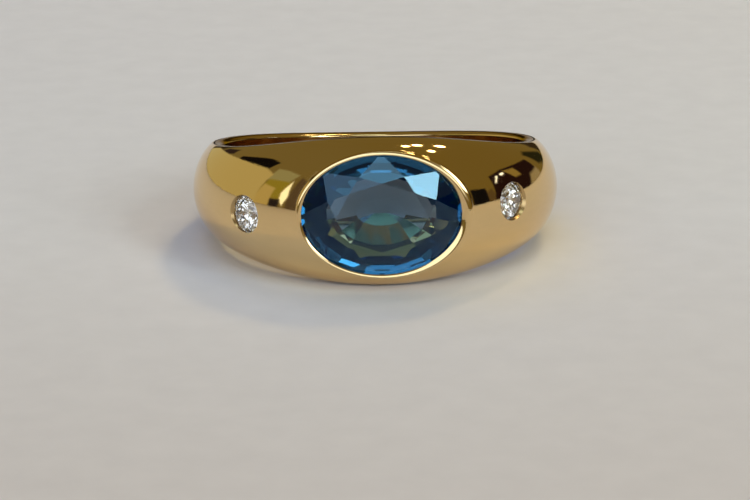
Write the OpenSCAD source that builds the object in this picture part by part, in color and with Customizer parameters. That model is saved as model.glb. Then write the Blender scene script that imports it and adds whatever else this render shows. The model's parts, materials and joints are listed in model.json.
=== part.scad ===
// A men's dome ring that lies on its side, with its head towards -Y: a polished one-piece band whose
// wide head narrows into the shank, an oval stone in a low bezel that is one with the band, and a
// small round diamond sunk flush into each shoulder.

/* [Band] */
// Diameter of the finger hole
inner_d = 19.4; // [19.2:0.1:20.4]
// Width of the band at the head, along the finger
head_w = 9.1; // [8.9:0.1:10]
// Width of the band at the back
back_w = 3.55; // [3.4:0.05:4]
// How quickly the head narrows into the shank
taper = 3.9; // [3.4:0.1:4.4]
// Extra width that the shank keeps at the sides
side_swell = 1.6; // [1.5:0.1:2]
// Wall at the middle of the head, up to the dome's unset top
head_wall = 3.2; // [3.1:0.05:3.4]
// Wall at the sides
side_wall = 1.9; // [1.8:0.05:2.2]
// Wall at the back
back_wall = 1.3; // [1.2:0.05:1.5]
// Thickness of the flat rim at the head
head_rim = 0.86; // [0.8:0.02:1.1]
// Thickness of the flat rim at the back
back_rim = 0.48; // [0.44:0.02:0.6]
// Roundness of the dome's section at the head, 2 for a parabola and 1 for an ellipse
head_power = 1.25; // [1.2:0.05:1.5]
// Roundness of the dome's section at the sides
side_power = 1.9; // [1.6:0.05:2]
// Radius of the comfort edge between the rim and the finger hole
edge_r = 0.3; // [0.2:0.05:0.35]

/* [Oval stone] */
// Length of the oval stone, round the finger
stone_l = 10; // [9.6:0.1:10]
// Width of the oval stone, along the finger
stone_w = 7.5; // [7.2:0.1:7.5]
// Height of its crown over the girdle
stone_crown = 1.1; // [0.9:0.05:1.2]
// Depth of its pavilion under the girdle
stone_pavilion = 2; // [1.8:0.05:2]
// Thickness of its girdle
stone_girdle = 0.12; // [0.08:0.02:0.14]
// Width of its table as a share of the stone
stone_table = 0.56; // [0.5:0.01:0.6]

/* [Bezel] */
// Height of the lip's top over the wall of the finger hole
lip_height = 2.35; // [2.3:0.05:2.5]
// Depth of the girdle under the lip's top
girdle_drop = 0.2; // [0.18:0.01:0.22]
// Outer length of the lip, round the finger
lip_l = 10.76; // [10.7:0.02:10.9]
// Outer width of the lip, along the finger
lip_w = 7.84; // [7.8:0.02:8]
// How far the lip sits to the right of the stone, which leaves it wider there
lip_shift = 0.2; // [0:0.02:0.22]
// How much wider the collar is at its foot
collar_flare = 0.04; // [0.02:0.02:0.1]
// Opening over the stone as a share of its girdle
window = 0.973; // [0.96:0.001:0.975]

/* [Diamonds] */
// Diameter of each diamond
diamond_d = 2.34; // [2:0.02:2.4]
// Place of the left diamond round the band, in degrees from the middle of the head
left_polar = 42; // [40:0.5:45]
// Place of the right diamond round the band, in degrees from the middle of the head
right_polar = 41; // [40:0.5:45]
// Direction that each diamond faces, in degrees from the middle of the head
diamond_facing = 48; // [44:0.5:50]
// How far the left one sits below and the right one above the middle of the band
diamond_offset = 0.32; // [0.1:0.02:0.36]
// Depth of each diamond's girdle under the dome
diamond_drop = 0.36; // [0.34:0.02:0.44]
// Width of the cut rim round each diamond, at the dome
seat_rim = 0.12; // [0.06:0.02:0.14]

/* [Hidden] */
$fn = 96;

// Clearance that every stone keeps from its seat
gap = 0.03;
// Steps of the loft round the band, over the dome and over each comfort edge
BAND_STEPS = 72;
DOME_STEPS = 18;
EDGE_STEPS = 3;
// How far the loft reaches into the finger hole, which is then cut through it
CUT = 0.5;

inner_r = inner_d / 2;
mean_wall = (head_wall + back_wall) / 2;

// Outer shape of the band at the angle a from the middle of the head
function band_w(a) =
    back_w + (head_w - back_w) * pow((1 + cos(a)) / 2, taper) + side_swell * pow(sin(a), 2);
function outer_r(a) =
    inner_r + (mean_wall + side_wall) / 2
    + (head_wall - back_wall) / 2 * cos(a)
    + (mean_wall - side_wall) / 2 * cos(2 * a);
function dome_power(a) = head_power + (side_power - head_power) * pow(sin(a), 2);
function rim_r(a) = inner_r + (head_rim + back_rim) / 2 + (head_rim - back_rim) / 2 * cos(a);

// One comfort edge, as [radius, height], from the flat of the upper rim into the finger hole
edge_flat_r = inner_r + 0.7 * edge_r;
function edge_points(half) = concat(
    [for (i = [0:EDGE_STEPS])
        let (t = 90 + 67.5 * i / EDGE_STEPS)
        [edge_flat_r + edge_r * cos(t), half - edge_r + edge_r * sin(t)]],
    [[inner_r - CUT, half - 2 * edge_r]]
);

// The dome from the lower rim to the upper one, as [radius, height]
function dome_points(a) =
    let (half = band_w(a) / 2, rim = rim_r(a), bulge = outer_r(a) - rim, power = dome_power(a))
    [for (i = [0:DOME_STEPS])
        let (t = -90 + 180 * i / DOME_STEPS)
        [rim + bulge * pow(abs(cos(t)), power), half * sin(t)]];

function reversed(list) = [for (i = [len(list) - 1:-1:0]) list[i]];
function mirrored(list) = [for (p = list) [p[0], -p[1]]];
function section(a) =
    let (edge = edge_points(band_w(a) / 2))
    concat(reversed(mirrored(edge)), dome_points(a), edge);

// The ring rests on the lower rim of its head and of its narrower back, so it leans back
contact_y = -edge_flat_r;
contact_z = -head_w / 2;
rest_tilt = min([for (i = [BAND_STEPS / 4:BAND_STEPS / 2])
    let (a = 360 * i / BAND_STEPS)
    atan2(-band_w(a) / 2 - contact_z, -rim_r(a) * cos(a) - contact_y)]);
function rest_y(y, z) = y * cos(rest_tilt) + z * sin(rest_tilt);
function rest_z(y, z) = -y * sin(rest_tilt) + z * cos(rest_tilt);

lip_r = inner_r + lip_height;
girdle_r = lip_r - girdle_drop;
table_r = girdle_r + stone_crown;
front_y = rest_y(-table_r, -stone_table * stone_w / 2);
back_y = max([for (p = section(180)) rest_y(p[0], p[1])]);
rest_lift = -rest_z(contact_y, contact_z);

module at_rest() {
    translate([0, -(front_y + back_y) / 2, rest_lift])
        rotate([-rest_tilt, 0, 0])
            children();
}

// Puts a shape on the band, its own z pointing outwards and its own y along the finger
module on_band(polar, radius, facing, along) {
    rotate([0, 0, polar])
        translate([0, -radius, along])
            rotate([0, 0, facing - polar])
                rotate([90, 0, 0])
                    children();
}

module on_head() {
    on_band(0, girdle_r, 0, 0) children();
}

module on_shoulder(side) {
    polar = side < 0 ? left_polar : right_polar;
    on_band(side * polar, outer_r(polar), side * diamond_facing, side * diamond_offset)
        translate([0, 0, -diamond_drop])
            children();
}

// Cut stones. A brilliant's crown has eight kites, eight stars and sixteen girdle facets. Radii are
// shares of the girdle's, and heights are measured from the girdle's upper edge.
STAR_R = 0.71;
GIRDLE_SIDES = 16;
function ring_points(r, h, count, start, size) =
    [for (i = [0:count - 1])
        let (t = start + 360 * i / count)
        [size[0] / 2 * r * cos(t), size[1] / 2 * r * sin(t), h]];
function crown_points(size, table, crown, girdle) = concat(
    ring_points(table, crown, 8, 0, size),
    ring_points(STAR_R, crown * (1 - STAR_R * cos(22.5)) / (1 - table), 8, 22.5, size),
    ring_points(1, 0, GIRDLE_SIDES, 0, size),
    ring_points(1, -girdle, GIRDLE_SIDES, 0, size)
);

// First indices of the crown's rings of points, and of what follows them
STARS = 8;
GIRDLE_TOP = 16;
GIRDLE_FOOT = 32;
PAVILION = 48;
function wrap(first, i, count) = first + (i + count) % count;
crown_faces = concat(
    [[for (k = [7:-1:0]) k]],
    [for (k = [0:7]) [k, wrap(0, k + 1, 8), STARS + k]],
    [for (k = [0:7]) [k, STARS + k, GIRDLE_TOP + 2 * k, wrap(STARS, k - 1, 8)]],
    [for (k = [0:7]) [STARS + k, GIRDLE_TOP + 2 * k + 1, GIRDLE_TOP + 2 * k]],
    [for (k = [0:7]) [STARS + k, wrap(GIRDLE_TOP, 2 * k + 2, 16), GIRDLE_TOP + 2 * k + 1]]
);
function band_faces(upper, lower) =
    [for (i = [0:GIRDLE_SIDES - 1])
        [upper + i, wrap(upper, i + 1, GIRDLE_SIDES), wrap(lower, i + 1, GIRDLE_SIDES), lower + i]];

// The oval stone's pavilion is cut in steps, each a [share of the radius, share of the depth]
STEPS = [[0.77, 0.42], [0.56, 0.75], [0.35, 0.88]];
module step_cut_stone(size, table, crown, girdle, depth) {
    rings = [for (s = STEPS) ring_points(s[0], -girdle - s[1] * depth, GIRDLE_SIDES, 0, size)];
    last = PAVILION + (len(STEPS) - 1) * GIRDLE_SIDES;
    culet = last + GIRDLE_SIDES;
    polyhedron(
        points = concat(
            crown_points(size, table, crown, girdle),
            [for (ring = rings) each ring],
            [[0, 0, -girdle - depth]]
        ),
        faces = concat(
            crown_faces,
            [for (j = [0:len(STEPS)])
                each band_faces(GIRDLE_TOP + j * GIRDLE_SIDES, GIRDLE_FOOT + j * GIRDLE_SIDES)],
            [for (i = [0:GIRDLE_SIDES - 1]) [last + i, wrap(last, i + 1, GIRDLE_SIDES), culet]]
        ),
        convexity = 2
    );
}

// A diamond's pavilion has eight mains and sixteen halves, which meet at LOWER_R
LOWER_R = 0.25;
module round_brilliant(d, table, crown, girdle, depth) {
    size = [d, d];
    culet = PAVILION + 8;
    lower_h = -girdle - depth * (1 - LOWER_R * cos(22.5));
    polyhedron(
        points = concat(
            crown_points(size, table, crown, girdle),
            ring_points(LOWER_R, lower_h, 8, 22.5, size),
            [[0, 0, -girdle - depth]]
        ),
        faces = concat(
            crown_faces,
            band_faces(GIRDLE_TOP, GIRDLE_FOOT),
            [for (k = [0:7]) [GIRDLE_FOOT + 2 * k, PAVILION + k, culet, wrap(PAVILION, k - 1, 8)]],
            [for (k = [0:7]) [GIRDLE_FOOT + 2 * k, GIRDLE_FOOT + 2 * k + 1, PAVILION + k]],
            [for (k = [0:7])
                [GIRDLE_FOOT + 2 * k + 1, wrap(GIRDLE_FOOT, 2 * k + 2, 16), PAVILION + k]]
        ),
        convexity = 2
    );
}

// Proportions of the diamonds, as shares of the diameter
DIAMOND_TABLE = 0.57;
diamond_crown = 0.15 * diamond_d;
diamond_girdle = 0.025 * diamond_d;
diamond_pavilion = 0.43 * diamond_d;

// The band's outer form, as a loft of its sections round the finger
module dome_blank() {
    count = len(section(0));
    points = [for (i = [0:BAND_STEPS - 1])
        let (a = 360 * i / BAND_STEPS)
        for (p = section(a)) [p[0] * sin(a), -p[0] * cos(a), p[1]]];
    faces = [for (i = [0:BAND_STEPS - 1]) for (j = [0:count - 1])
        let (here = i * count, next = ((i + 1) % BAND_STEPS) * count, k = (j + 1) % count)
        [here + k, next + k, next + j, here + j]];
    polyhedron(points = points, faces = faces, convexity = 6);
}

// The oval collar that rises out of the dome, with its top edge broken
module bezel_collar() {
    foot = 1.6;
    break_r = 0.08;
    translate([lip_shift, 0, 0])
        scale([1, lip_w / lip_l, 1])
            rotate_extrude()
                polygon([
                    [0, -foot],
                    [lip_l / 2 + collar_flare, -foot],
                    [lip_l / 2, girdle_drop - break_r],
                    [lip_l / 2 - break_r, girdle_drop],
                    [0, girdle_drop]
                ]);
}

// Room for the oval stone: the opening over it, the seat under its girdle and an open back
module stone_recess() {
    r = stone_l / 2;
    seat_r = r + gap * stone_l / stone_w;
    back_r = 0.6 * r;
    seat_h = -stone_girdle - 2 * gap;
    seat_slope = STEPS[0][1] * stone_pavilion / ((1 - STEPS[0][0]) * r);
    scale([1, stone_w / stone_l, 1])
        rotate_extrude()
            polygon([
                [0, -head_wall],
                [back_r, -head_wall],
                [back_r, seat_h - (seat_r - back_r) * seat_slope],
                [seat_r, seat_h],
                [seat_r, gap],
                [window * r, girdle_drop - 0.06],
                [(window + 0.012) * r, girdle_drop + 0.01],
                [(window + 0.012) * r, head_wall],
                [0, head_wall]
            ]);
}

// Room for a flush-set diamond: a cut rim, a groove for its girdle, a cone and a drilled back
module diamond_recess() {
    r = diamond_d / 2;
    drill_r = 0.36 * r;
    cone_h = -diamond_girdle - gap;
    rotate_extrude()
        polygon([
            [0, -head_wall],
            [drill_r, -head_wall],
            [drill_r, cone_h - (r + gap - drill_r) * diamond_pavilion / r],
            [r + gap, cone_h],
            [r + gap, gap],
            [r - gap, 2.5 * gap],
            [r - gap, diamond_drop / 2],
            [r + seat_rim, diamond_drop + gap],
            [r + seat_rim, head_wall / 2],
            [0, head_wall / 2]
        ]);
}

// All the metal is one piece
module band() {
    color([0.84, 0.66, 0.36])
        at_rest()
            difference() {
                union() {
                    dome_blank();
                    on_head() bezel_collar();
                }
                cylinder(h = 2 * head_w, r = inner_r, center = true);
                on_head() stone_recess();
                for (side = [-1, 1])
                    on_shoulder(side) diamond_recess();
            }
}

module oval_stone() {
    color([0.13, 0.36, 0.5])
        at_rest()
            on_head()
                step_cut_stone(
                    [stone_l, stone_w], stone_table, stone_crown, stone_girdle, stone_pavilion
                );
}

module diamond(side) {
    color([0.92, 0.94, 0.97])
        at_rest()
            on_shoulder(side)
                round_brilliant(
                    diamond_d, DIAMOND_TABLE, diamond_crown, diamond_girdle, diamond_pavilion
                );
}

band();
oval_stone();
diamond(-1);  // left_diamond
diamond(1);  // right_diamond
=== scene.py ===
"""A men's dome ring that lies on its side: a polished gold band whose wide head narrows into the
shank, an oval blue stone in a low bezel, and a small round diamond sunk into each shoulder.

The band is one welded mesh. Its dome, finger hole and rims are grids that follow formulas, and the
stone's recess and the diamonds' seats are rings of points that join them edge to edge. Sizes are in
millimetres, in the ring's own frame: its axis is Z, and its head faces -Y.
"""

import json
import math

import bmesh
import bpy
import numpy as np
from mathutils import Matrix, Vector
from mathutils.geometry import delaunay_2d_cdt


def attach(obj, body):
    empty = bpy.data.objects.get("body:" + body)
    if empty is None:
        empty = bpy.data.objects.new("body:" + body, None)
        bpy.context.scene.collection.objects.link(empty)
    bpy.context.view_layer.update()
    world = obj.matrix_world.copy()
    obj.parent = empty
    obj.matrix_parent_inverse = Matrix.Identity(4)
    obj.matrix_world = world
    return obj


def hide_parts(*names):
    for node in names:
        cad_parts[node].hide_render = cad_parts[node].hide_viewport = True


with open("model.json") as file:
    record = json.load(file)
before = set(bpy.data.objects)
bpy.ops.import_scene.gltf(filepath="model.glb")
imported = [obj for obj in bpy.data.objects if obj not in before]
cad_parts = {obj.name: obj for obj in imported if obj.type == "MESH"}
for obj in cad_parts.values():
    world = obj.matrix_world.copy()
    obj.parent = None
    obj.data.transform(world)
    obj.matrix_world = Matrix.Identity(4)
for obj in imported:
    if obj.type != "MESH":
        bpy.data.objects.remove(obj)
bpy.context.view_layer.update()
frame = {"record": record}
scene = bpy.context.scene
MM = 0.001

# The finger hole's mount says where the ring's middle is and how far it leans back
hole = next(m for m in frame["record"]["mounts"] if m["name"] == "finger_hole")
lean = math.atan2(hole["axis"][1], hole["axis"][2])
at_rest = Matrix.Translation(Vector(hole["pos_m"])) @ Matrix.Rotation(-lean, 4, "X") @ Matrix.Scale(MM, 4)

# Camera, in millimetres over the floor
CAMERA_AT = (-6.10, -171.40, 57.30)
CAMERA_AIM = (-0.14, -3.16, 0.0)
CAMERA_ROLL = -0.24
CAMERA_LENS = 134.5


def make_camera():
    data = bpy.data.cameras.new("camera")
    data.lens = CAMERA_LENS
    data.sensor_width = 36
    data.clip_start = 0.01
    camera = bpy.data.objects.new("camera", data)
    camera.location = Vector(CAMERA_AT) * MM
    look = (Vector(CAMERA_AIM) - Vector(CAMERA_AT)).to_track_quat("-Z", "Y").to_matrix()
    camera.rotation_euler = (look @ Matrix.Rotation(math.radians(CAMERA_ROLL), 3, "Z")).to_euler()
    scene.collection.objects.link(camera)
    scene.camera = camera


make_camera()

# Band. The walls are its thickness up to the dome, and the rims that of its flat edges.
INNER_R = hole["dims"]["r_mm"]
HEAD_W = 9.1
BACK_W = 3.55
TAPER = 3.9
SIDE_SWELL = 1.6
HEAD_WALL = 3.2
SIDE_WALL = 1.9
BACK_WALL = 1.3
MEAN_WALL = (HEAD_WALL + BACK_WALL) / 2
HEAD_RIM = 0.86
BACK_RIM = 0.48
HEAD_POWER = 1.25
SIDE_POWER = 1.52
# Reach of the rounded edge between a rim and the finger hole, over the rim and down the hole
EDGE_IN = 0.4
EDGE_DOWN = 0.27

# Oval stone, and the bezel round it
STONE_L = 10.0
STONE_W = 7.5
STONE_CROWN = 1.1
STONE_GIRDLE = 0.12
STONE_TABLE = 0.56
GIRDLE_R = INNER_R + 2.15
LIP_L = 10.76
LIP_W = 7.84
# The lip sits this much to the right of the stone, which leaves it wider there
LIP_SHIFT = 0.2
# Heights of the lip's inner edge and of its underside over the girdle
LIP_EDGE = 0.15
LIP_UNDER = 0.115
# Place of the lip's crest as a share of its width from the outside, and how much nearer the stone it
# is at the top and farther at the bottom
CREST_AT = 0.52
CREST_LEAN = 0.26
# How far the lip falls from its crest to either edge, as a share of its width
OUTER_FALL = 0.17
INNER_FALL = 0.17
# Radii of the collar's foot and of its outer edge
COVE = 0.05
ROUNDING = 0.03
# Opening over the stone as a share of its girdle
WINDOW = 0.973
# Room between a stone and the metal
GAP = 0.03
# The recess under the girdle is one cone. Its end is a share of the stone, this deep under the seat.
RECESS_END = 0.6
RECESS_DEPTH = 1.49

# Diamonds, and their seats
DIAMOND_D = 2.34
DIAMOND_TABLE = 0.57
DIAMOND_CROWN = 0.15 * DIAMOND_D
DIAMOND_GIRDLE = 0.025 * DIAMOND_D
DIAMOND_PAVILION = 0.43 * DIAMOND_D
DIAMOND_POLAR = {-1: math.radians(42), 1: math.radians(41)}
DIAMOND_FACING = math.radians(48)
DIAMOND_OFFSET = 0.32
DIAMOND_DROP = 0.36
# Width of the cut rim, and the height over the girdle at which it starts
SEAT_RIM = 0.13
WALL_TOP = 0.4 * DIAMOND_DROP
DRILL_R = 0.36 * DIAMOND_D / 2
# Radii of a crown's star points and of a brilliant's lower points, as shares of the stone's radius
STAR_R = 0.71
LOWER_R = 0.25

# Fineness of the band's grids and rings, and of the stones' uncut blanks
ROUND_STEPS = 480
DOME_STEPS = 72
BORE_STEPS = 20
EDGE_STEPS = 8
COVE_STEPS = 6
ROUNDING_STEPS = 5
LIP_STEPS = 16
BEZEL_SIDES = 256
SEAT_SIDES = 96
OVAL_SIDES = 128
DIAMOND_SIDES = 64
# The sheets with holes for the stones reach this far round from the middle of the head
BLOCK = math.radians(60)
# About how many millimetres a step of 1 in a sheet's two coordinates is
DOME_SCALE = (12.5, 3.5)
BORE_SCALE = (INNER_R, 4.2)


def band_width(a):
    return (BACK_W + (HEAD_W - BACK_W) * ((1 + np.cos(a)) / 2) ** TAPER
            + SIDE_SWELL * np.sin(a) ** 2)


def outer_r(a):
    return (INNER_R + (MEAN_WALL + SIDE_WALL) / 2 + (HEAD_WALL - BACK_WALL) / 2 * np.cos(a)
            + (MEAN_WALL - SIDE_WALL) / 2 * np.cos(2 * a))


def rim_r(a):
    return INNER_R + (HEAD_RIM + BACK_RIM) / 2 + (HEAD_RIM - BACK_RIM) / 2 * np.cos(a)


def dome_power(a):
    """Roundness of the dome's section: 1 is an ellipse and 2 a parabola."""
    return HEAD_POWER + (SIDE_POWER - HEAD_POWER) * np.sin(a) ** 2


def around(a, r, z):
    """Points at the angles a from the head, the radii r and the heights z."""
    a, r, z = np.broadcast_arrays(a, r, z)
    return np.stack([r * np.sin(a), -r * np.cos(a), z], -1)


def unit(vectors):
    return vectors / np.linalg.norm(vectors, axis=-1, keepdims=True)


def dome_point(a, t):
    """The dome at the angle a from the head and t over its section, from rim to rim."""
    rim = rim_r(a)
    r = rim + (outer_r(a) - rim) * np.abs(np.cos(t)) ** dome_power(a)
    return around(a, r, band_width(a) / 2 * np.sin(t))


def dome_normal(a, t):
    step = 1e-4
    along = dome_point(a + step, t) - dome_point(a - step, t)
    inward = -dome_power(a) * np.sin(t) * (outer_r(a) - rim_r(a))
    rise = band_width(a) / 2 * np.abs(np.cos(t)) ** (2 - dome_power(a))
    return unit(np.cross(along, around(a, inward, rise)))


def over_dome(points):
    """How far points are outside the dome, along the radius."""
    a = np.arctan2(points[..., 0], -points[..., 1])
    share = np.clip(2 * points[..., 2] / band_width(a), -1, 1)
    rim = rim_r(a)
    surface = rim + (outer_r(a) - rim) * (1 - share ** 2) ** (dome_power(a) / 2)
    return np.hypot(points[..., 0], points[..., 1]) - surface


def dome_angles(points):
    a = np.arctan2(points[..., 0], -points[..., 1])
    return a, np.arcsin(np.clip(2 * points[..., 2] / band_width(a), -1, 1))


def solve_rising(function, low, high, steps=50):
    """The arguments between low and high at which a rising function passes 0."""
    for _ in range(steps):
        middle = (low + high) / 2
        above = function(middle) > 0
        high = np.where(above, middle, high)
        low = np.where(above, low, middle)
    return (low + high) / 2


# Frames of the stones: local z points outwards and local y along the finger
def seat_frame(polar, radius, facing, along, drop):
    return (Matrix.Rotation(polar, 4, "Z") @ Matrix.Translation((0, -radius, along))
            @ Matrix.Rotation(facing - polar, 4, "Z") @ Matrix.Rotation(math.pi / 2, 4, "X")
            @ Matrix.Translation((0, 0, -drop)))


HEAD_FRAME = seat_frame(0, GIRDLE_R, 0, 0, 0)
SHOULDER_FRAMES = {
    side: seat_frame(
        side * DIAMOND_POLAR[side], float(outer_r(DIAMOND_POLAR[side])), side * DIAMOND_FACING,
        side * DIAMOND_OFFSET, DIAMOND_DROP,
    )
    for side in (-1, 1)
}


def moved(matrix, points):
    m = np.array(matrix)
    return points @ m[:3, :3].T + m[:3, 3]


class Shell:
    """Grids and triangles that are welded into one mesh, each corner with its own normal."""

    def __init__(self):
        self.points, self.normals, self.faces, self.slots, self.count = [], [], [], [], 0

    def add(self, points, normals, faces, slot):
        points, normals, faces = points.reshape(-1, 3), normals.reshape(-1, 3), np.asarray(faces)
        corners = points[faces]
        facing = np.cross(corners[:, 2] - corners[:, 0], corners[:, -1] - corners[:, 1])
        flipped = (facing * normals[faces].sum(1)).sum(1) < 0
        faces = np.where(flipped[:, None], faces[:, ::-1], faces)
        self.points.append(points)
        self.normals.append(normals)
        self.faces.append(faces + self.count)
        self.slots.append(np.full(len(faces), slot))
        self.count += len(points)

    def grid(self, points, normals, slot, closed=False):
        rows, columns = points.shape[:2]
        row, column = np.meshgrid(
            np.arange(rows - 1), np.arange(columns if closed else columns - 1), indexing="ij")
        after = (column + 1) % columns
        corners = [row * columns + column, row * columns + after,
                   (row + 1) * columns + after, (row + 1) * columns + column]
        self.add(points, normals, np.stack([c.ravel() for c in corners], 1), slot)

    def mesh(self, name):
        points, normals = np.concatenate(self.points), np.concatenate(self.normals)
        _, first, welded = np.unique(
            np.round(points, 5), axis=0, return_index=True, return_inverse=True)
        welded = welded.ravel()
        faces, corner_normals, slots = [], [], []
        for block, slot in zip(self.faces, self.slots):
            for corners, s in zip(block, slot):
                kept = [c for i, c in enumerate(corners) if welded[c] != welded[corners[i - 1]]]
                if len(kept) > 2:
                    faces.append([int(welded[c]) for c in kept])
                    corner_normals.extend(normals[c] for c in kept)
                    slots.append(s)
        mesh = bpy.data.meshes.new(name)
        mesh.from_pydata(points[first].tolist(), [], faces)
        mesh.polygons.foreach_set("material_index", np.array(slots, np.int32))
        mesh.polygons.foreach_set("use_smooth", np.ones(len(faces), bool))
        mesh.normals_split_custom_set(np.array(corner_normals).tolist())
        mesh.update()
        return mesh


def ring_grid(shell, loops, slot, outward, first_normals=None):
    """Adds the band between closed loops. outward is 1 or -1, the side of its normals."""
    loops = np.stack(loops)
    round_it = np.roll(loops, -1, 1) - np.roll(loops, 1, 1)
    across = np.gradient(loops, axis=0, edge_order=2 if len(loops) > 2 else 1)
    normals = outward * unit(np.cross(round_it, across))
    if first_normals is not None:
        normals[0] = first_normals
    shell.grid(loops, normals, slot, closed=True)


def inside(outline, points):
    """Which points lie in a closed outline, by counting the edges to their right."""
    found = np.zeros(len(points), bool)
    for (x0, y0), (x1, y1) in zip(outline, np.roll(outline, -1, 0)):
        if y0 != y1:
            between = (points[:, 1] < y0) != (points[:, 1] < y1)
            found ^= between & (points[:, 0] < x0 + (points[:, 1] - y0) * (x1 - x0) / (y1 - y0))
    return found


def holed_sheet(shell, place, normal, u, v, scale, holes, slot):
    """A sheet over the rectangle of u by v, with outlines in u and v cut out of it."""
    spacing = 0.5 * min((u[1] - u[0]) * scale[0], (v[1] - v[0]) * scale[1])
    inner = np.array([(a, b) for a in u[1:-1] for b in v[1:-1]])
    for outline in holes:
        gaps = (inner[:, None, :] - outline[None]) * scale
        inner = inner[(np.hypot(gaps[..., 0], gaps[..., 1]).min(1) > spacing) & ~inside(outline, inner)]
    border = ([(a, v[0]) for a in u] + [(u[-1], b) for b in v[1:]]
              + [(a, v[-1]) for a in u[-2::-1]] + [(u[0], b) for b in v[-2:0:-1]])
    loops = [np.array(border), *holes]
    edges, start = [], 0
    for loop in loops:
        edges += [(start + i, start + (i + 1) % len(loop)) for i in range(len(loop))]
        start += len(loop)
    flat = np.concatenate([*loops, inner])
    result = delaunay_2d_cdt([Vector(p) for p in (flat * scale).tolist()], edges, [], 0, 1e-9)
    original = [ids[0] for ids in result[3]]
    faces = np.array([[original[c] for c in f] for f in result[2]])
    middles = flat[faces].mean(1)
    for outline in holes:
        keep = ~inside(outline, middles)
        faces, middles = faces[keep], middles[keep]
    shell.add(place(flat[:, 0], flat[:, 1]), normal(flat[:, 0], flat[:, 1]), faces, slot)


def bore_point(a, share):
    return around(a, INNER_R, share * (band_width(a) / 2 - EDGE_DOWN))


def bore_normal(a, share):
    return around(a, -1.0, 0 * share)


def bore_angles(points):
    a = np.arctan2(points[..., 0], -points[..., 1])
    return np.stack([a, points[..., 2] / (band_width(a) / 2 - EDGE_DOWN)], -1)


# The band's materials
OUTSIDE, INSIDE, CUT, RIM = range(4)


def bezel(shell):
    """The collar, its lip and the stone's recess. Returns the outlines that they leave in the
    dome and in the finger hole."""
    t = 2 * math.pi * np.arange(BEZEL_SIDES) / BEZEL_SIDES

    def oval(semi_l, semi_w, h, shift=0):
        semi_l, semi_w, h, shift = np.broadcast_arrays(semi_l, semi_w, h + 0 * t, shift)
        return moved(HEAD_FRAME, np.stack([shift + semi_l * np.cos(t), semi_w * np.sin(t), h], -1))

    # The lip is highest along its crest, which the burnisher left nearer the stone at the top and
    # farther from it at the bottom
    crest_at = CREST_AT + CREST_LEAN * np.sin(t)
    window_l, window_w = WINDOW * STONE_L / 2, WINDOW * STONE_W / 2
    wall = np.hypot(LIP_SHIFT + (LIP_L / 2 - window_l) * np.cos(t), (LIP_W / 2 - window_w) * np.sin(t))
    crest_h = LIP_EDGE + INNER_FALL * wall
    outer_h = crest_h - OUTER_FALL * wall

    def lip(share):
        side = (crest_at - share) / np.where(share < crest_at, crest_at, 1 - crest_at)
        fall = np.where(share < crest_at, OUTER_FALL, INNER_FALL) * wall
        return oval(LIP_L / 2 + (window_l - LIP_L / 2) * share, LIP_W / 2 + (window_w - LIP_W / 2) * share,
                    crest_h - fall * side ** 2, LIP_SHIFT * (1 - share))

    def flank(h, spread=0):
        return oval(LIP_L / 2 + spread, LIP_W / 2 + spread, h, LIP_SHIFT)

    # The collar meets the dome somewhere between these heights
    low, high = np.full(BEZEL_SIDES, -1.6), np.full(BEZEL_SIDES, 0.1)
    foot = solve_rising(lambda h: over_dome(flank(h)), low, high)
    rise = solve_rising(lambda h: over_dome(flank(h, COVE)), low, high)
    a, section = dome_angles(flank(rise, COVE))
    outer, corner, upper = dome_point(a, section), flank(foot), flank(foot + COVE)
    cove = [(1 - s) ** 2 * outer + 2 * s * (1 - s) * corner + s ** 2 * upper
            for s in np.linspace(0, 1, COVE_STEPS + 1)]
    flat = [flank(foot + COVE + (outer_h - ROUNDING - foot - COVE) * s) for s in (0.3, 0.6, 0.85, 1)]
    rounding = [flank(outer_h - ROUNDING * (1 - math.sin(q)), -ROUNDING * (1 - math.cos(q)))
                for q in np.linspace(0, math.pi / 2, ROUNDING_STEPS + 1)[1:-1]]
    first = ROUNDING / wall
    top = [lip(first + (1 - first) * s) for s in np.linspace(0, 1, LIP_STEPS + 1)]
    ring_grid(shell, cove + flat + rounding + top, OUTSIDE, 1, dome_normal(a, section))

    # Under the lip: the groove for the girdle, the seat, and the open back
    seat_l, seat_w = STONE_L / 2 + GAP * STONE_L / STONE_W, STONE_W / 2 + GAP
    back_l, back_w = RECESS_END * STONE_L / 2, RECESS_END * STONE_W / 2
    under_lip = oval(window_l, window_w, LIP_UNDER)
    groove = oval(seat_l, seat_w, GAP)
    seat = oval(seat_l, seat_w, -STONE_GIRDLE - 2 * GAP)
    back = oval(back_l, back_w, -STONE_GIRDLE - 2 * GAP - RECESS_DEPTH)
    across = back_l * np.cos(t)
    through = oval(back_l, back_w, np.sqrt(INNER_R ** 2 - across ** 2) - GIRDLE_R)
    through_angles = bore_angles(through)
    loops = [lip(np.float64(1)), under_lip, groove, seat, back,
             bore_point(through_angles[:, 0], through_angles[:, 1])]
    for near, far in zip(loops, loops[1:]):
        ring_grid(shell, [near, far], CUT, 1)
    return np.stack([a, section], -1), through_angles


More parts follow.
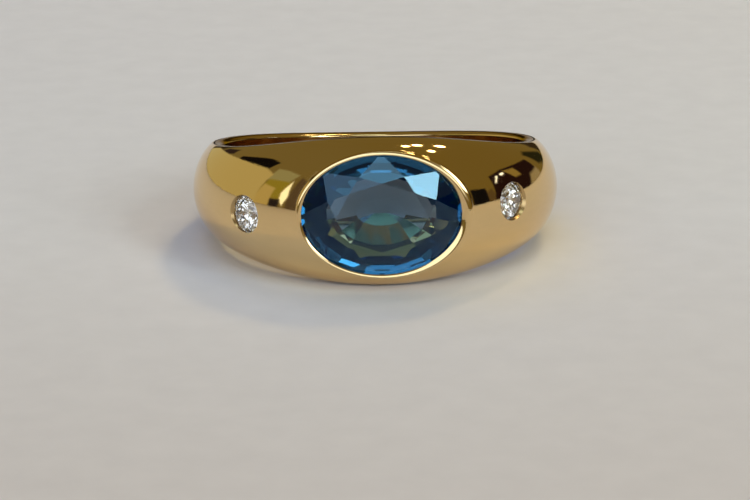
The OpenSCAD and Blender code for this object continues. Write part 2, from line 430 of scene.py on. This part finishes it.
def diamond_seat(shell, matrix):
    """A flush seat: a bright-cut rim, a wall, a groove for the girdle, a cone and a drilled back."""
    t = 2 * math.pi * np.arange(SEAT_SIDES) / SEAT_SIDES
    r = DIAMOND_D / 2

    def circle(radius, h):
        radius, h = np.broadcast_arrays(radius, h + 0 * t)
        return moved(matrix, np.stack([radius * np.cos(t), radius * np.sin(t), h], -1))

    def rim(h):
        slope = (SEAT_RIM + GAP) / (DIAMOND_DROP - WALL_TOP + GAP)
        return circle(r - GAP + np.clip(h - WALL_TOP, 0, 0.4) * slope, h)

    # The rim meets the dome somewhere between these heights
    low, high = np.full(SEAT_SIDES, 0.0), np.full(SEAT_SIDES, 1.2)
    height = solve_rising(lambda h: over_dome(rim(h)), low, high)
    a, section = dome_angles(rim(height))
    loops = [
        dome_point(a, section),
        circle(r - GAP, WALL_TOP),
        circle(r - GAP, 2.5 * GAP),
        circle(r + GAP, GAP),
        circle(r + GAP, -DIAMOND_GIRDLE - GAP),
        circle(DRILL_R, -DIAMOND_GIRDLE - GAP - (r + GAP - DRILL_R) * DIAMOND_PAVILION / r),
    ]
    axis = np.array(matrix.col[2][:3])
    start = circle(DRILL_R, -1.0)
    b = start[:, :2] @ axis[:2]
    c = (start[:, :2] ** 2).sum(1) - INNER_R ** 2
    through = start + (-b + np.sqrt(b ** 2 - c))[:, None] * axis
    through_angles = bore_angles(through)
    loops.append(bore_point(through_angles[:, 0], through_angles[:, 1]))
    for near, far in zip(loops, loops[1:]):
        ring_grid(shell, [near, far], CUT, 1)
    return np.stack([a, section], -1), through_angles


def make_band(materials):
    shell = Shell()
    dome_holes, bore_holes = [], []
    for outlines in [bezel(shell), *(diamond_seat(shell, m) for m in SHOULDER_FRAMES.values())]:
        dome_holes.append(outlines[0])
        bore_holes.append(outlines[1])
    angles = np.linspace(-math.pi, math.pi, ROUND_STEPS + 1)
    sections = np.linspace(-math.pi / 2, math.pi / 2, DOME_STEPS + 1)
    heights = np.linspace(-1, 1, BORE_STEPS + 1)
    near = angles[np.abs(angles) < BLOCK + 1e-9]
    for far in (angles[angles < -BLOCK + 1e-9], angles[angles > BLOCK - 1e-9]):
        a, s = np.meshgrid(far, sections, indexing="ij")
        shell.grid(dome_point(a, s), dome_normal(a, s), OUTSIDE)
        a, h = np.meshgrid(far, heights, indexing="ij")
        shell.grid(bore_point(a, h), bore_normal(a, h), INSIDE)
    holed_sheet(shell, dome_point, dome_normal, near, sections, DOME_SCALE, dome_holes, OUTSIDE)
    holed_sheet(shell, bore_point, bore_normal, near, heights, BORE_SCALE, bore_holes, INSIDE)

    # The rims, and the rounded edges between them and the finger hole
    turn = np.linspace(0, math.pi / 2, EDGE_STEPS + 1)
    for side in (-1, 1):
        half = band_width(angles) / 2
        edge = [around(angles, INNER_R + EDGE_IN * (1 - math.cos(q)),
                       side * (half - EDGE_DOWN * (1 - math.sin(q)))) for q in turn]
        flat = [around(angles, INNER_R + EDGE_IN + (rim_r(angles) - INNER_R - EDGE_IN) * s, side * half)
                for s in (0.5, 1)]
        points = np.stack(edge + flat)
        along = np.gradient(points, axis=1)
        along[:, 0] = along[:, -1] = points[:, 1] - points[:, -2]
        across = np.gradient(points, axis=0)
        normals = side * unit(np.cross(along, across))
        normals[0] = bore_normal(angles, angles)
        normals[-1] = dome_normal(angles, side * math.pi / 2 + 0 * angles)
        shell.grid(points, normals, RIM)
    mesh = shell.mesh("gold_band")
    mesh.transform(at_rest)
    band = bpy.data.objects.new("gold_band", mesh)
    scene.collection.objects.link(band)
    for material in materials:
        mesh.materials.append(material)
    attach(band, "root")
    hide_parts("band")


# Cut stones. The oval stone's pavilion is cut in five steps round a short keel, in columns.
PAVILION = [
    # half length, half width and depth under the girdle
    (STONE_L / 2, STONE_W / 2, 0.0),
    (4.45, 3.25, 0.47),
    (3.75, 2.7, 0.96),
    (2.8, 1.88, 1.42),
    (1.5, 0.75, 1.82),
    (0.4, 0.0, 2.0),
]
PAVILION_COLUMNS = 16
# Depth of its uncut blank under the girdle
BLANK_DEPTH = 2.1
STONE_MIDDLE = Vector((0, 0, -0.05))


def cut(gem, a, b, c):
    """Cuts away what lies outside the plane through three points, seen from the stone's middle."""
    normal = (b - a).cross(c - a).normalized()
    if normal.dot(a - STONE_MIDDLE) < 0:
        normal.negate()
    geometry = gem.verts[:] + gem.edges[:] + gem.faces[:]
    result = bmesh.ops.bisect_plane(gem, geom=geometry, plane_co=a, plane_no=normal, clear_outer=True)
    edges = [e for e in result["geom_cut"] if isinstance(e, bmesh.types.BMEdge)]
    if edges:
        bmesh.ops.holes_fill(gem, edges=edges, sides=0)


def ring_corner(size, share, degrees, h):
    t = math.radians(degrees)
    return Vector((size[0] / 2 * share * math.cos(t), size[1] / 2 * share * math.sin(t), h))


def cut_crown(gem, size, table, crown):
    """A brilliant's crown: a table, eight kites, eight stars and sixteen girdle facets."""
    star_h = crown * (1 - STAR_R * math.cos(math.pi / 8)) / (1 - table)
    cut(gem, *(ring_corner(size, table, 90 * i, crown) for i in range(3)))
    for k in range(8):
        here = 45 * k
        first, second = (ring_corner(size, STAR_R, here + d, star_h) for d in (-22.5, 22.5))
        cut(gem, first, second, ring_corner(size, table, here, crown))
        cut(gem, second, ring_corner(size, table, here, crown), ring_corner(size, table, here + 45, crown))
        middle = ring_corner(size, 1, here + 22.5, 0)
        for end in (here, here + 45):
            cut(gem, second, middle, ring_corner(size, 1, end, 0))


def cut_brilliant_pavilion(gem, d, girdle, depth):
    """A brilliant's pavilion: eight mains and sixteen halves, which meet at LOWER_R."""
    lower_h = -girdle - depth * (1 - LOWER_R * math.cos(math.pi / 8))
    culet = Vector((0, 0, -girdle - depth))
    for k in range(8):
        here = 45 * k
        first, second = (ring_corner((d, d), LOWER_R, here + s, lower_h) for s in (-22.5, 22.5))
        cut(gem, first, second, culet)
        middle = ring_corner((d, d), 1, here + 22.5, -girdle)
        for end in (here, here + 45):
            cut(gem, second, middle, ring_corner((d, d), 1, end, -girdle))


def cut_step_pavilion(gem, girdle, rings):
    """Columns of steps. Each facet touches two rings, along the direction that its column faces."""
    for k in range(PAVILION_COLUMNS):
        t = 2 * math.pi * k / PAVILION_COLUMNS
        facing = math.atan2(rings[0][0] * math.sin(t), rings[0][1] * math.cos(t))
        out = Vector((math.cos(facing), math.sin(facing), 0))
        side = Vector((-out.y, out.x, 0))
        reach = [math.hypot(ring[0] * out.x, ring[1] * out.y) for ring in rings]
        for i in range(len(rings) - 1):
            near = out * reach[i] + Vector((0, 0, -girdle - rings[i][2]))
            far = out * reach[i + 1] + Vector((0, 0, -girdle - rings[i + 1][2]))
            cut(gem, near, far, near + side)


def make_stone(name, size, top, bottom, sides, cutters, matrix, material, node):
    """Cuts a stone from a prism with this many sides, and puts it in place of its CAD node."""
    gem = bmesh.new()
    rings = [[gem.verts.new(ring_corner(size, 1, 360 * i / sides, h)) for i in range(sides)]
             for h in (bottom, top)]
    gem.faces.new(reversed(rings[0]))
    gem.faces.new(rings[1])
    for i in range(sides):
        j = (i + 1) % sides
        gem.faces.new((rings[0][i], rings[0][j], rings[1][j], rings[1][i]))
    for cutter in cutters:
        cutter(gem)
    bmesh.ops.recalc_face_normals(gem, faces=gem.faces)
    mesh = bpy.data.meshes.new(name)
    gem.to_mesh(mesh)
    gem.free()
    mesh.transform(at_rest @ matrix)
    mesh.materials.append(material)
    stone = bpy.data.objects.new(name, mesh)
    scene.collection.objects.link(stone)
    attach(stone, "root")
    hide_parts(node)


# Materials. Colours are in linear light. Each gold has a lighter and a darker tone, in clouds, and a
# grain of scratches that run round the finger. Scales are per metre.
GOLD = ((0.82, 0.59, 0.295), (0.79, 0.56, 0.27))
# The gold in the finger hole is a darker copy of the outside gold: painted shade.
GOLD_INSIDE_SHADED = ((0.70, 0.50, 0.25), (0.63, 0.45, 0.22))
GOLD_CUT = ((0.60, 0.41, 0.19), (0.54, 0.36, 0.16))
# The rims' gold turns dark brown at a grazing angle.
DARK_GRAZING_TINT = (0.30, 0.21, 0.08)
GOLD_CLOUDS = 160
GOLD_GRAIN = (2600, 2600, 14000)
GRAIN_DEPTH = 0.00001
# The oval stone's body takes up OVAL_DENSITY times what its tint lacks of 1, per metre. Then what its
# surface reflects, a faint painted glow that the stone gives off as if lit from inside, and the diamonds'
# slight warmth.
OVAL_IOR = 1.77
OVAL_TINT = (0.285, 0.60, 0.72)
OVAL_DENSITY = 700
OVAL_GLOSS = (0.34, 0.56, 0.72)
OVAL_PAINTED_GLOW = (0, 0.0016, 0.0075)
DIAMOND_IOR = 2.417
DIAMOND_TINT = (0.98, 0.95, 0.90)
# The cloth has two tones, in clouds. Towards the front, from one Y to the other, it is multiplied by
# a warmer, darker colour as painted shade. Inside the ring it is darkened by painted shade, from one
# radius to the other.
CLOTH = ((0.76, 0.75, 0.785), (0.84, 0.83, 0.865))
CLOTH_CLOUDS = 420
CLOTH_FRONT_SHADE = (0.91, 0.86, 0.83)
FRONT_SHADE_Y = (0.005, -0.045)
CLOTH_PAINTED_SHADE = (0.42, 0.31, 0.33)
PAINTED_SHADE_R = (0.0106, 0.0072)
WHITE = (1, 1, 1)
BLACK = (0, 0, 0)


def new_material(name):
    material = bpy.data.materials.new(name)
    material.use_nodes = True
    nodes = material.node_tree.nodes
    return material, nodes, material.node_tree.links, nodes["Principled BSDF"], nodes["Material Output"]


def mixed(nodes, links, factor, first, second, blend="MIX"):
    """A mix of two colours. Each is a colour or another node's output."""
    node = nodes.new("ShaderNodeMix")
    node.data_type = "RGBA"
    node.blend_type = blend
    links.new(factor, node.inputs["Factor"])
    for name, colour in (("A", first), ("B", second)):
        if isinstance(colour, tuple):
            node.inputs[name].default_value = (*colour, 1)
        else:
            links.new(colour, node.inputs[name])
    return node.outputs["Result"]


def mapped(nodes, links, value, low, high, smooth=False):
    """A value that is 0 at low and 1 at high."""
    node = nodes.new("ShaderNodeMapRange")
    if smooth:
        node.interpolation_type = "SMOOTHSTEP"
    links.new(value, node.inputs["Value"])
    node.inputs["From Min"].default_value = low
    node.inputs["From Max"].default_value = high
    return node


def noise(nodes, links, vector, scale, detail=2):
    node = nodes.new("ShaderNodeTexNoise")
    node.inputs["Scale"].default_value = scale
    node.inputs["Detail"].default_value = detail
    links.new(vector, node.inputs["Vector"])
    return node.outputs["Fac"]


def gold_material(name, roughness, scratch, tones=GOLD, edge=WHITE):
    """Gold whose polish varies with its tone. edge is its tint at a grazing angle."""
    material, nodes, links, shader, _ = new_material(name)
    shader.inputs["Metallic"].default_value = 1
    shader.inputs["Specular Tint"].default_value = (*edge, 1)
    place = nodes.new("ShaderNodeTexCoord").outputs["Object"]
    tone = noise(nodes, links, place, GOLD_CLOUDS)
    links.new(mixed(nodes, links, tone, *tones), shader.inputs["Base Color"])
    polish = mapped(nodes, links, tone, 0, 1)
    polish.inputs["To Min"].default_value = roughness * 0.7
    polish.inputs["To Max"].default_value = roughness * 1.3
    links.new(polish.outputs["Result"], shader.inputs["Roughness"])
    stretch = nodes.new("ShaderNodeMapping")
    stretch.inputs["Scale"].default_value = GOLD_GRAIN
    links.new(place, stretch.inputs["Vector"])
    bump = nodes.new("ShaderNodeBump")
    bump.inputs["Strength"].default_value = scratch
    bump.inputs["Distance"].default_value = GRAIN_DEPTH
    links.new(noise(nodes, links, stretch.outputs["Vector"], 1), bump.inputs["Height"])
    links.new(bump.outputs["Normal"], shader.inputs["Normal"])
    return material


def gem_material(name, ior, clear=WHITE, gloss=WHITE, painted_glow=BLACK, tint=WHITE, density=0):
    """A clear stone. clear tints what passes its surface, gloss what its surface reflects, and tint
    what passes its body. Its emission colour is a faint painted glow that stands in for light."""
    material, nodes, links, shader, output = new_material(name)
    shader.inputs["Base Color"].default_value = (*clear, 1)
    shader.inputs["Specular Tint"].default_value = (*gloss, 1)
    shader.inputs["Roughness"].default_value = 0
    shader.inputs["IOR"].default_value = ior
    shader.inputs["Transmission Weight"].default_value = 1
    # Painted light: the stone gives off a faint glow of its own
    shader.inputs["Emission Color"].default_value = (*painted_glow, 1)
    shader.inputs["Emission Strength"].default_value = 1 if any(painted_glow) else 0
    if density:
        absorb = nodes.new("ShaderNodeVolumeAbsorption")
        absorb.inputs["Color"].default_value = (*tint, 1)
        absorb.inputs["Density"].default_value = density
        links.new(absorb.outputs["Volume"], output.inputs["Volume"])
    return material


def floor_material():
    """Pale cloth. Inside the ring it is darkened with painted shade, which the oval stone's middle shows.
    """
    material, nodes, links, shader, _ = new_material("pale_table")
    place = nodes.new("ShaderNodeTexCoord").outputs["Object"]
    cloth = mixed(nodes, links, noise(nodes, links, place, CLOTH_CLOUDS, 4), *CLOTH)
    apart = nodes.new("ShaderNodeSeparateXYZ")
    links.new(place, apart.inputs["Vector"])
    # Painted shade: the cloth turns darker and warmer towards the front
    front_shade = mapped(nodes, links, apart.outputs["Y"], *FRONT_SHADE_Y).outputs["Result"]
    cloth = mixed(nodes, links, front_shade, cloth, CLOTH_FRONT_SHADE, "MULTIPLY")
    reach = nodes.new("ShaderNodeVectorMath")
    reach.operation = "DISTANCE"
    links.new(place, reach.inputs[0])
    reach.inputs[1].default_value = (hole["pos_m"][0], hole["pos_m"][1], 0)
    # Painted shade: the cloth inside the ring is darkened
    painted_shade = mapped(nodes, links, reach.outputs["Value"], *PAINTED_SHADE_R, smooth=True).outputs["Result"]
    cloth = mixed(nodes, links, painted_shade, cloth, CLOTH_PAINTED_SHADE)
    links.new(cloth, shader.inputs["Base Color"])
    shader.inputs["Roughness"].default_value = 0.85
    return material


make_band([
    gold_material("polished_gold", 0.05, 0.09),
    # The finger hole's gold is darkened with painted shade.
    gold_material("polished_gold_inside_shaded", 0.07, 0.08, GOLD_INSIDE_SHADED),
    gold_material("bright_cut_gold", 0.24, 0.05, GOLD_CUT),
    gold_material("gold_rim_dark_at_grazing", 0.12, 0.05, edge=DARK_GRAZING_TINT),
])

oval_size = (STONE_L, STONE_W)
make_stone(
    "faceted_oval_stone", oval_size, STONE_CROWN, -STONE_GIRDLE - BLANK_DEPTH, OVAL_SIDES,
    [lambda gem: cut_crown(gem, oval_size, STONE_TABLE, STONE_CROWN),
     lambda gem: cut_step_pavilion(gem, STONE_GIRDLE, PAVILION)],
    HEAD_FRAME,
    gem_material("blue_crystal", OVAL_IOR, WHITE, OVAL_GLOSS, OVAL_PAINTED_GLOW, OVAL_TINT, OVAL_DENSITY),
    "oval_stone",
)
diamond_size = (DIAMOND_D, DIAMOND_D)
diamond_material = gem_material("diamond_crystal", DIAMOND_IOR, DIAMOND_TINT)
for side, label in ((-1, "left"), (1, "right")):
    make_stone(
        f"faceted_{label}_diamond", diamond_size, DIAMOND_CROWN, -DIAMOND_GIRDLE - DIAMOND_PAVILION,
        DIAMOND_SIDES,
        [lambda gem: cut_crown(gem, diamond_size, DIAMOND_TABLE, DIAMOND_CROWN),
         lambda gem: cut_brilliant_pavilion(gem, DIAMOND_D, DIAMOND_GIRDLE, DIAMOND_PAVILION)],
        SHOULDER_FRAMES[side], diamond_material, f"{label}_diamond",
    )

# Floor
FLOOR_HALF = 3.0
floor_corners = [(x * FLOOR_HALF, y * FLOOR_HALF, 0) for x, y in ((-1, -1), (1, -1), (1, 1), (-1, 1))]
floor_mesh = bpy.data.meshes.new("table")
floor_mesh.from_pydata(floor_corners, [], [(0, 1, 2, 3)])
floor_mesh.materials.append(floor_material())
floor = bpy.data.objects.new("table", floor_mesh)
scene.collection.objects.link(floor)


# The room that the metal and the stones mirror. Directions are (azimuth, elevation) in degrees, with
# azimuth 0 straight in front of the ring's head and positive to its right. The ceiling's colour turns
# to CEILING_RIGHT towards one direction, over this range of the cosine of the angle to it.
CEILING = (0.188, 0.154, 0.060)
CEILING_RIGHT = (0.177, 0.135, 0.039)
CEILING_TURN = (100, 10)
CEILING_RANGE = (-0.5, 0.9)
SURFACES = [
    # what it is, colour, softness of its edge in radians, corners
    ("dark wall behind", (0.035, 0.025, 0.012), 0.06,
     [(154, -6), (154, 8), (180, 10), (232, 7), (232, -6)]),
    ("window in front", (1.55, 1.75, 2.00), 0.03, [(-53, 6), (-53, 46), (-40, 46), (25, 40), (25, 6)]),
    ("shutter in front", (0.35, 0.34, 0.30), 0.03, [(25, 6), (25, 40), (38, 40), (38, 6)]),
    ("skylight", (2.2, 2.8, 3.0), 0.05, [(-21, 60), (-26, 71), (32, 71), (30, 60)]),
    ("dark beam", (0.006, 0.005, 0.006), 0.02,
     [(-96.5, 30), (-96.5, 41), (-112, 39.5), (-136, 25), (-130, 20)]),
    ("dark beam, far end", (0.03, 0.02, 0.02), 0.03, [(-146, 19), (-153, 20), (-161, 12), (-152, 9)]),
    ("grey pane", (0.31, 0.32, 0.19), 0.03, [(-64, 35.5), (-67, 25), (-85, 24), (-88, 36), (-76, 37.5)]),
    ("green pane", (0.289, 0.259, 0.039), 0.04, [(-65, 27), (-66, 8), (-85, 8), (-84, 25)]),
    ("tan post", (0.492, 0.421, 0.184), 0.03, [(-73.5, 18), (-73.5, -3), (-86, -3), (-84, 20)]),
    ("pale curtain", (0.503, 0.454, 0.228), 0.02,
     [(-84.5, -3), (-85.5, 30), (-98, 32.5), (-165, 5.5), (-165, -3)]),
    ("bright gap", (1.5, 1.6, 1.4), 0.02, [(-64, 28), (-61, 12), (-63.5, 2), (-66.5, 9), (-67, 15)]),
    ("dark foot on the left", (0.02, 0.016, 0.02), 0.02, [(-66, 8), (-66, -3), (-73, -3), (-73.5, 7)]),
    ("dark door on the left", (0.10, 0.075, 0.05), 0.03, [(-53, 30), (-60, 34), (-61, -3), (-53, -3)]),
    ("black cupboard", (0.006, 0.006, 0.008), 0.015, [(62, -3), (63, 15.5), (75, 13.5), (75, -3)]),
    ("brown side", (0.107, 0.076, 0.034), 0.03, [(74.5, -3), (75, 9), (80, 12), (82, -3)]),
    ("dark figure", (0.018, 0.008, 0.008), 0.02, [(79, -3), (85, 22.5), (100, 23.5), (131, 15), (132, -3)]),
    ("olive part of it", (0.278, 0.216, 0.068), 0.03, [(101, 21.5), (106, 12), (113, 11), (112, 18.5)]),
    ("tan part of it", (0.321, 0.281, 0.175), 0.05, [(114, -3), (121, 6.5), (132, 6), (134, -3)]),
    ("bright strip on it", (2.0, 2.2, 2.6), 0.012, [(85.5, 15), (90.5, 20.2), (92.5, 20.2), (87, 15)]),
    ("bright spot on it", (2.0, 2.2, 2.6), 0.012, [(95.5, 18.8), (95.5, 20.8), (99.5, 20.8), (99.5, 18.8)]),
    ("dark post on the right", (0.02, 0.02, 0.008), 0.05,
     [(136, 16), (141.5, 16), (152, 3), (150, -3), (139, 4)]),
]
LAMPS = [
    # azimuth, elevation, radius in degrees
    (113.6, 75.1, 1.9),
    (122.4, 68.4, 2.3),
    (89.5, 62.5, 1.9),
    (120.0, 58.0, 2.5),
]
LAMP_RADIANCE = 20
LAMP_COLOUR = (1.0, 0.86, 0.56)
PANELS = [
    # azimuth, elevation, width and height in degrees, radiance, colour
    (44, 25, 22, 18, 6, (0.86, 0.98, 1.0)),
    (51, 41, 8, 7, 15, (0.80, 0.98, 1.0)),
]
# The lamps and panels hang this far from the ring, in metres
LAMP_FAR = 0.6
# Two more lights fall on the table, and leave no mirror image in the metal and the stones: a lamp like
# the others, and a square panel at a place in metres. Their colours hold their radiance.
BEHIND = (150, 49, 4)
BEHIND_COLOUR = (34, 25, 9.7)
BESIDE_AT = (-0.12, 0.15, 0.32)
BESIDE_SIZE = 0.3
BESIDE_COLOUR = (0.08, 0.24, 0.80)


def direction_of(azimuth, elevation):
    az, el = math.radians(azimuth), math.radians(elevation)
    return Vector((math.sin(az) * math.cos(el), -math.cos(az) * math.cos(el), math.sin(el)))


def room():
    world = bpy.data.worlds.new("room")
    world.use_nodes = True
    world.cycles.sampling_method = "NONE"
    scene.world = world
    nodes, links = world.node_tree.nodes, world.node_tree.links
    background = nodes["Background"]
    place = nodes.new("ShaderNodeTexCoord")

    def dot(vector):
        node = nodes.new("ShaderNodeVectorMath")
        node.operation = "DOT_PRODUCT"
        links.new(place.outputs["Generated"], node.inputs[0])
        node.inputs[1].default_value = vector
        return node.outputs["Value"]

    def lesser(first, second):
        node = nodes.new("ShaderNodeMath")
        node.operation = "MINIMUM"
        links.new(first, node.inputs[0])
        links.new(second, node.inputs[1])
        return node.outputs["Value"]

    def paint(below, value, low, high, colour):
        mask = mapped(nodes, links, value, low, high, smooth=True).outputs["Result"]
        return mixed(nodes, links, mask, below, colour)

    def surface(below, colour, soft, corners):
        """A flat polygon, seen from the ring. Each of its edges is a plane through the ring."""
        points = [direction_of(*corner) for corner in corners]
        middle = sum(points, Vector()).normalized()
        depth = None
        for here, after in zip(points, points[1:] + points[:1]):
            edge = here.cross(after).normalized()
            side = dot(edge if edge.dot(middle) > 0 else -edge)
            depth = side if depth is None else lesser(depth, side)
        return paint(below, depth, -soft / 2, soft / 2, colour)

    colour = paint(CEILING, dot(direction_of(*CEILING_TURN)), *CEILING_RANGE, CEILING_RIGHT)
    for _, shade, soft, corners in SURFACES:
        colour = surface(colour, shade, soft, corners)
    links.new(colour, background.inputs["Color"])


def hang(data, place, mirrored=True):
    """Hangs a light, turned towards the ring."""
    light = bpy.data.objects.new(data.name, data)
    light.location = place
    light.rotation_euler = place.to_track_quat("Z", "Y").to_euler()
    light.visible_camera = False
    light.visible_glossy = mirrored
    light.visible_transmission = mirrored
    scene.collection.objects.link(light)


def hang_lamp(name, azimuth, elevation, radius, radiance, colour, mirrored=True):
    data = bpy.data.lights.new(name, "POINT")
    data.shadow_soft_size = LAMP_FAR * math.tan(math.radians(radius))
    data.energy = radiance * 4 * (math.pi * data.shadow_soft_size) ** 2
    data.color = colour
    hang(data, direction_of(azimuth, elevation) * LAMP_FAR, mirrored)


def hang_panel(name, azimuth, elevation, width, height, radiance, colour):
    data = bpy.data.lights.new(name, "AREA")
    data.shape = "RECTANGLE"
    data.size = 2 * LAMP_FAR * math.tan(math.radians(width / 2))
    data.size_y = 2 * LAMP_FAR * math.tan(math.radians(height / 2))
    data.energy = radiance * math.pi * data.size * data.size_y
    data.color = colour
    hang(data, direction_of(azimuth, elevation) * LAMP_FAR)


def lights():
    for index, lamp in enumerate(LAMPS):
        hang_lamp(f"lamp_{index}", *lamp, LAMP_RADIANCE, LAMP_COLOUR)
    hang_lamp("lamp_behind", *BEHIND, 1, BEHIND_COLOUR, mirrored=False)
    beside = bpy.data.lights.new("window_beside", "AREA")
    beside.size = BESIDE_SIZE
    beside.energy = math.pi * BESIDE_SIZE ** 2
    beside.color = BESIDE_COLOUR
    hang(beside, Vector(BESIDE_AT), mirrored=False)
    for index, panel in enumerate(PANELS):
        hang_panel(f"panel_{index}", *panel)


room()
lights()

scene.view_settings.view_transform = "Standard"
scene.view_settings.look = "None"
scene.cycles.use_denoising = True
scene.cycles.max_bounces = 24
scene.cycles.glossy_bounces = 12
scene.cycles.transmission_bounces = 24
